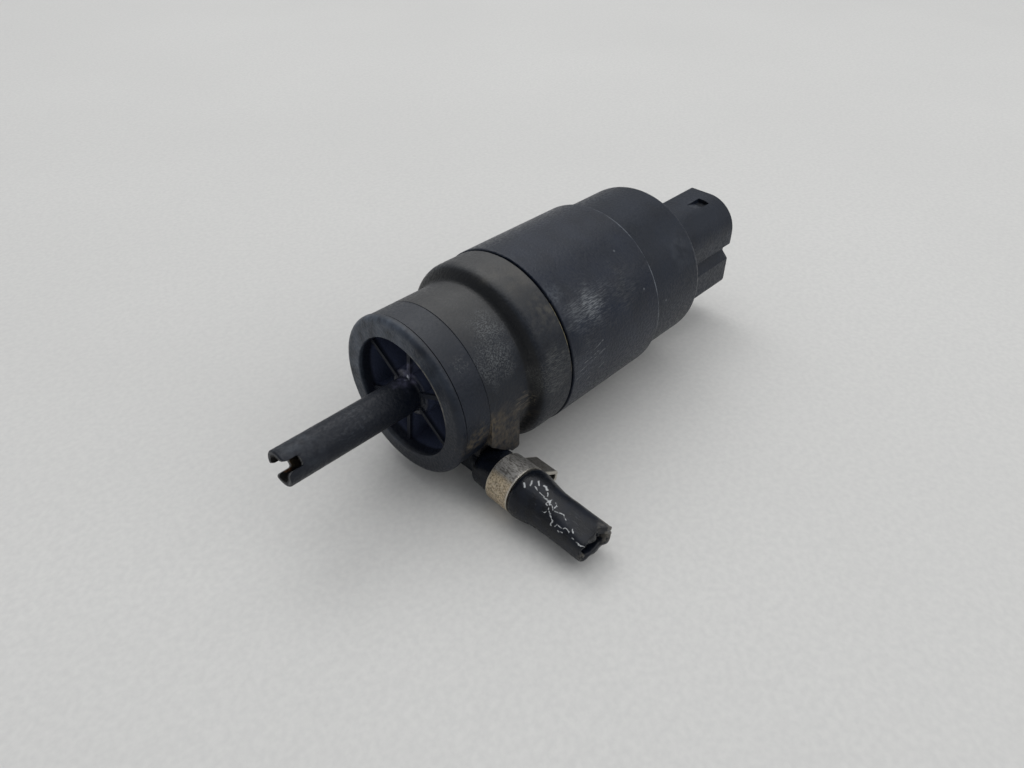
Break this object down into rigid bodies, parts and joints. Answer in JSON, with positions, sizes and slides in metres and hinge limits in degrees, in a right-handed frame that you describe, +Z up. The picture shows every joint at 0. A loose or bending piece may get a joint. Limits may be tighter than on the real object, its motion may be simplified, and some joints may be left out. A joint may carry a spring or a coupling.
{
  "type": "washer pump",
  "caption": "Cylindrical electric washer pump with a slotted inlet pipe in a ribbed cup, a side outlet with a clamped hose stub, and a keyed rear connector.",
  "frame": {"origin": "on the pump's axis at the front face of the inlet cup's rim", "axes": "+X along the axis to the electrical connector, with the inlet pipe along -X; -Y is the outlet; +Z is up as the pump lies"},
  "size_m": [0.135, 0.0678, 0.0432],
  "materials": {
    "black_moulding": "moulded, matt",
    "light_moulding": "moulded, satin",
    "seal_rubber": "moulded rubber",
    "hose_rubber": "extruded rubber, glossy",
    "clamp_steel": "worn steel strip",
    "can_steel": "drawn and zinc plated",
    "shaft_steel": "ground",
    "core_steel": "stamped laminations",
    "bronze": "sintered",
    "spring_brass": "rolled strip",
    "tinned_brass": "tinned",
    "copper": "enamelled copper",
    "ferrite": "sintered ferrite",
    "carbon": "pressed carbon",
    "fibre": "pressed fibre"
  },
  "bodies": {
    "housing": {"inlet_cover": "black_moulding", "pump_housing": "black_moulding", "motor_sleeve": "black_moulding", "connector_cap": "black_moulding", "cover_o_ring": "seal_rubber", "body_o_ring": "seal_rubber", "shaft_seal": "seal_rubber", "motor_dampers": "seal_rubber", "hose_stub": "hose_rubber", "hose_clamp": "clamp_steel", "seal_retainer": "clamp_steel", "end_bell": "light_moulding", "motor_can": "can_steel", "magnet_clips": "can_steel", "front_bearing": "bronze", "rear_bearing": "bronze", "brush_arms": "spring_brass", "lead_straps": "tinned_brass", "contact_blades": "tinned_brass", "magnets": "ferrite", "brushes": "carbon"},
    "rotor": {"impeller": "light_moulding", "motor_shaft": "shaft_steel", "armature_core": "core_steel", "armature_windings": "copper", "commutator": "copper", "thrust_washers": "fibre"}
  },
  "joints": [
    {"name": "rotor_spin", "type": "hinge", "parent": "housing", "child": "rotor", "pos_m": [0.05, 0, 0], "axis": [1, 0, 0], "continuous": true}
  ]
}
